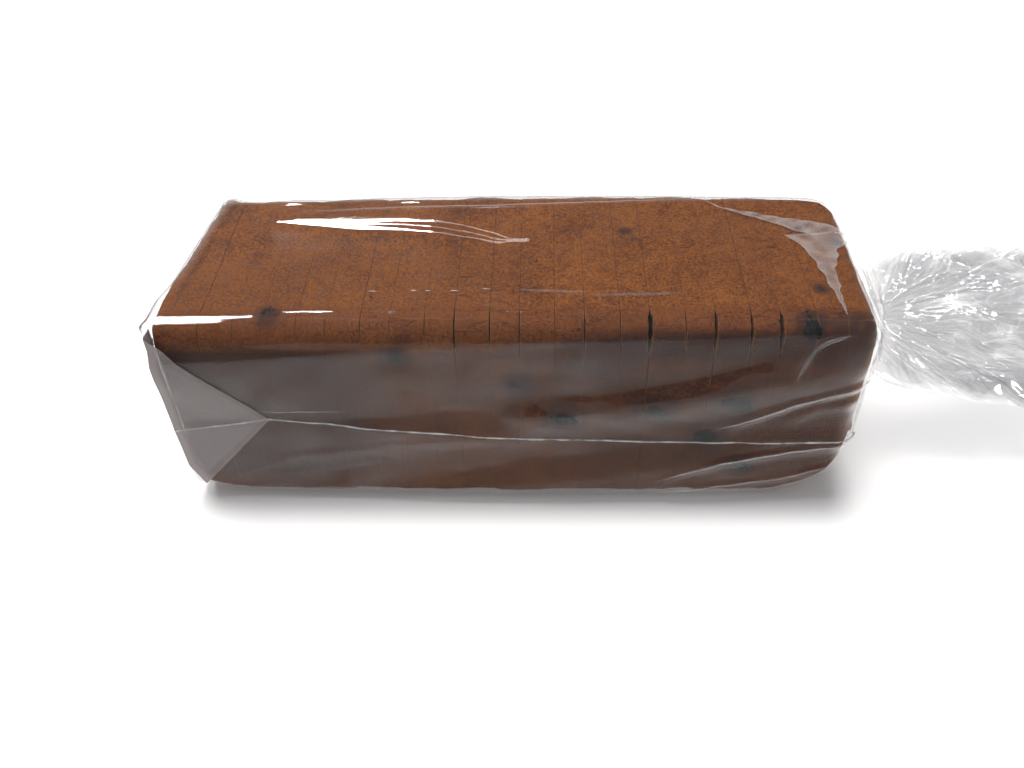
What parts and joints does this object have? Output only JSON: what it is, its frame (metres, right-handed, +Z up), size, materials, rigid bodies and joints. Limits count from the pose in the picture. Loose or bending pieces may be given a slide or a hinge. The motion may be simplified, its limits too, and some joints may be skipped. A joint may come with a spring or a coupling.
{
  "type": "sliced loaf in clear bag",
  "caption": "Sliced square fruit loaf lying in a clear plastic bag, with folded end corners, side seams, a gathered neck and a loose, flared tail.",
  "frame": {"origin": "On the table, below the middle of the whole bagged loaf's box.", "axes": "+X along the loaf from the closed end of the bag to its gathered neck and tail, +Z up, +Y away from the side that faces the viewer."},
  "size_m": [0.4088, 0.1002, 0.0991],
  "materials": {
    "crust": "Dark brown baked crust, finely mottled, with a soft sheen where the film lies on it.",
    "crumb": "Cut faces of the slices, matt, open and lighter brown than the crust.",
    "dried_fruit": "Blue-black, wrinkled dried fruit that shows through the crust.",
    "clear_film": "Thin clear bag film, glossy, with sharp folds and a faint grey haze where layers lie together.",
    "film_weld": "Whitish melted bead of the side seams."
  },
  "bodies": {
    "root": {"bagged_loaf": "crust"}
  },
  "joints": []
}
